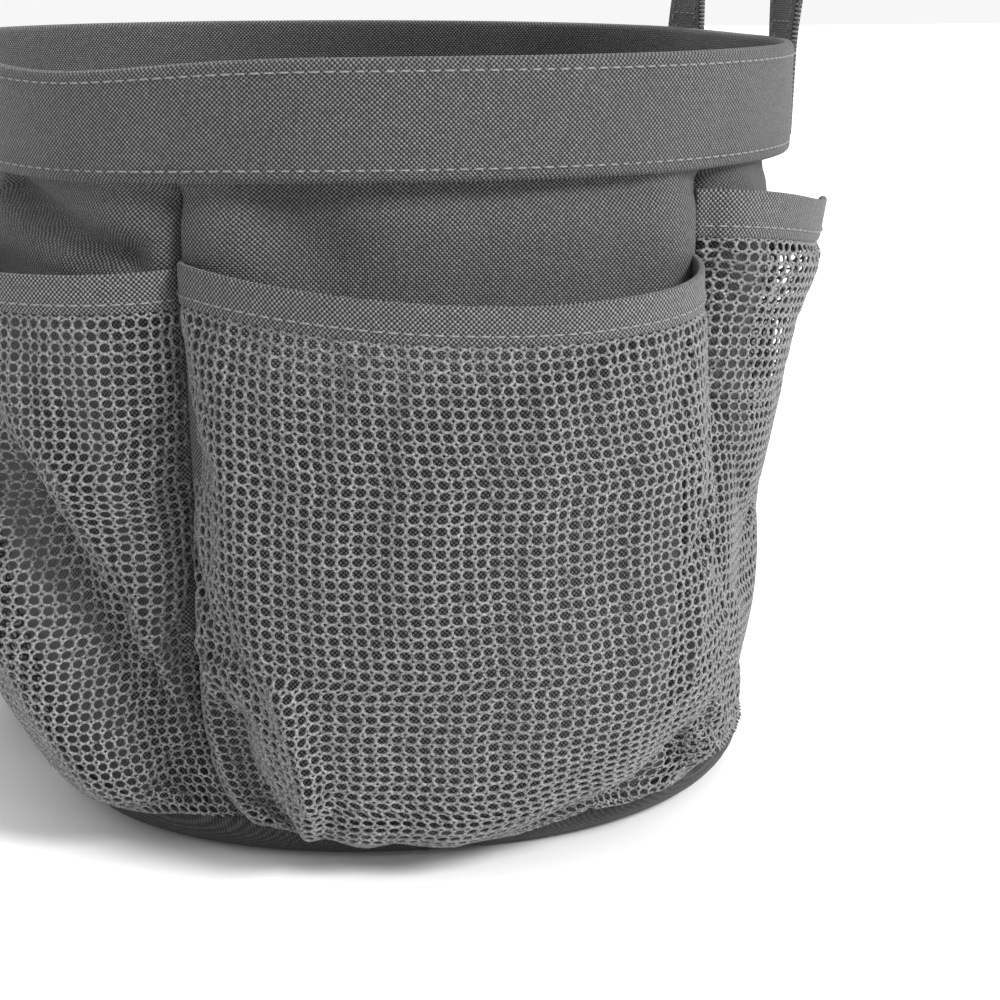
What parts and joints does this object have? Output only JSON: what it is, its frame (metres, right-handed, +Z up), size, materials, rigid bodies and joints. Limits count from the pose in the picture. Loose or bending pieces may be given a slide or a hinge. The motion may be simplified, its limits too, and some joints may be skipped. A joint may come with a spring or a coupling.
{
  "type": "hanging toiletry bag",
  "caption": "Open oval fabric tub for wash things with mesh pockets all round, two folding carrying handles and a swivel snap hook to hang it by.",
  "frame": {"origin": "centre of the base, on the surface the bag stands on", "axes": "+Z up through the mouth, +X towards the right short end, -Y towards the front long side"},
  "size_m": [0.3347, 0.2518, 0.312],
  "materials": {
    "oxford_body": "coated Oxford plain weave, grey",
    "oxford_base": "coated Oxford plain weave, darker grey",
    "oxford_band": "folded Oxford binding with one stitch line",
    "oxford_strap": "folded and stitched Oxford strap",
    "pocket_mesh": "warp-knitted polyester mesh with round holes",
    "binding_tape": "woven binding tape",
    "webbing": "ribbed polyester webbing",
    "hook_metal": "nickel-plated zinc",
    "steel_small_parts": "plain steel"
  },
  "bodies": {
    "root": {"base_panel": "oxford_base", "base_seam_tape": "binding_tape", "handle_back_sewn_ends": "oxford_strap", "handle_front_sewn_ends": "oxford_strap", "hook_webbing_loop": "webbing", "pocket_band_back_1": "oxford_band", "pocket_band_back_2": "oxford_band", "pocket_band_back_3": "oxford_band", "pocket_band_front_1": "oxford_band", "pocket_band_front_2": "oxford_band", "pocket_band_front_3": "oxford_band", "pocket_band_left_end": "oxford_band", "pocket_band_right_end": "oxford_band", "pocket_mesh_back_1": "pocket_mesh", "pocket_mesh_back_2": "pocket_mesh", "pocket_mesh_back_3": "pocket_mesh", "pocket_mesh_front_1": "pocket_mesh", "pocket_mesh_front_2": "pocket_mesh", "pocket_mesh_front_3": "pocket_mesh", "pocket_mesh_left_end": "pocket_mesh", "pocket_mesh_right_end": "pocket_mesh", "seam_tape_left_back": "binding_tape", "seam_tape_left_front": "binding_tape", "seam_tape_right_back": "binding_tape", "seam_tape_right_front": "binding_tape", "top_hem": "oxford_body", "wall_back": "oxford_body", "wall_front": "oxford_body", "wall_left_end": "oxford_body", "wall_right_end": "oxford_body"},
    "handle_front": {"handle_front_loop": "oxford_strap"},
    "handle_back": {"handle_back_loop": "oxford_strap"},
    "hook_eye": {"hook_swivel_eye": "hook_metal"},
    "hook": {"hook_body": "hook_metal", "hook_gate_rivet": "steel_small_parts", "hook_gate_spring": "steel_small_parts"},
    "gate": {"hook_gate": "hook_metal"}
  },
  "joints": [
    {"name": "handle_front_fold", "type": "hinge", "parent": "root", "child": "handle_front", "pos_m": [0, -0.1149, 0.2015], "axis": [1, 0, 0], "range_deg": [-70, 120]},
    {"name": "handle_back_fold", "type": "hinge", "parent": "root", "child": "handle_back", "pos_m": [0, 0.1149, 0.2015], "axis": [-1, 0, 0], "range_deg": [-70, 120]},
    {"name": "hook_eye_swing", "type": "hinge", "parent": "root", "child": "hook_eye", "pos_m": [-0.11981, 0.07093, 0.163], "axis": [0.6018, 0.7986, 0], "range_deg": [0, 110]},
    {"name": "hook_swivel", "type": "hinge", "parent": "hook_eye", "child": "hook", "pos_m": [-0.11981, 0.07093, 0.163], "axis": [0.3993, -0.3009, 0.866], "continuous": true},
    {"name": "hook_gate_open", "type": "hinge", "parent": "hook", "child": "gate", "pos_m": [-0.12419, 0.08299, 0.14438], "axis": [-0.6916, 0.5212, 0.5], "range_deg": [0, 32], "stiffness_Nm_per_rad": 0.01, "springref_deg": -17.19}
  ]
}
